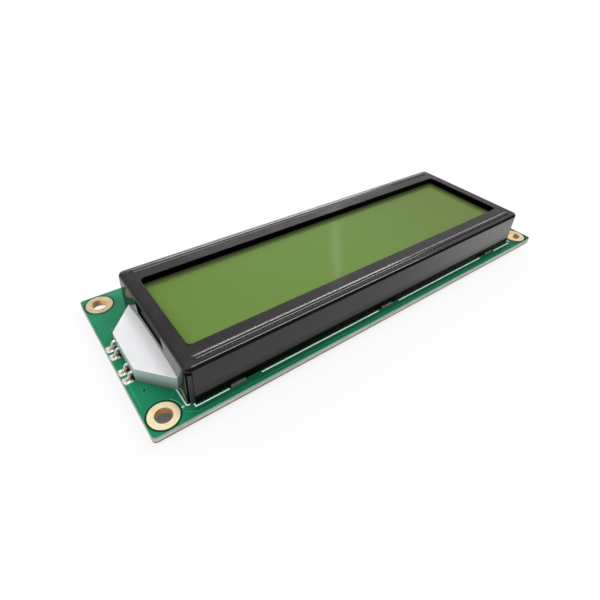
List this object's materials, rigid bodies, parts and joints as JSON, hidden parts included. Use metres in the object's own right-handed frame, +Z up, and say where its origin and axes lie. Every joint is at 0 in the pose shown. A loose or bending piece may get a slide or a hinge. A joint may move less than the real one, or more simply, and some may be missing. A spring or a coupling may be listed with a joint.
{
  "type": "character lcd module",
  "caption": "Flat character display module: green circuit board with corner mounting holes, black pressed bezel around a blank yellow-green screen, side-lit backlight tongue.",
  "frame": {"origin": "middle of the circuit board in plan, on the surface that the module lies on (the ends of the bezel tabs)", "axes": "+X along the module away from the lamp end, +Y towards the edge with the interface holes, +Z up out of the screen"},
  "size_m": [0.122, 0.044, 0.0139],
  "materials": {
    "solder_mask": "gloss green coating over glass-epoxy laminate",
    "gold_plating": "thin gold over copper",
    "bezel_paint": "gloss black baked paint on steel sheet",
    "front_film": "smooth polarising film, yellow-green over the lit panel",
    "panel_glass": "clear float glass",
    "rear_film": "yellow-green reflecting polariser",
    "contact_rubber": "striped silicone rubber",
    "tray_plastic": "white moulded plastic",
    "white_film": "white diffusing film",
    "clear_acrylic": "polished clear acrylic",
    "lamp_epoxy": "water-clear moulded epoxy",
    "tinned_lead": "tinned iron lead",
    "solder": "bright solder",
    "blob_epoxy": "semi-matt black epoxy",
    "resistor_body": "black glazed ceramic with tinned ends",
    "capacitor_body": "tan ceramic with tinned ends"
  },
  "bodies": {
    "root": {"circuit_board": "solder_mask", "mounting_hole_plating": "gold_plating", "bezel": "bezel_paint", "front_polariser": "front_film", "front_glass": "panel_glass", "rear_glass": "panel_glass", "rear_polariser": "rear_film", "near_contact_strip": "contact_rubber", "far_contact_strip": "contact_rubber", "backlight_tray": "tray_plastic", "reflector_sheet": "white_film", "light_guide": "clear_acrylic", "diffuser_sheet": "white_film", "near_lamp": "lamp_epoxy", "far_lamp": "lamp_epoxy", "near_lamp_leads": "tinned_lead", "far_lamp_leads": "tinned_lead", "lamp_pads": "gold_plating", "lamp_solder_joints": "solder", "controller_blob": "blob_epoxy", "driver_blob": "blob_epoxy", "chip_resistors": "resistor_body", "chip_capacitors": "capacitor_body"}
  },
  "joints": []
}
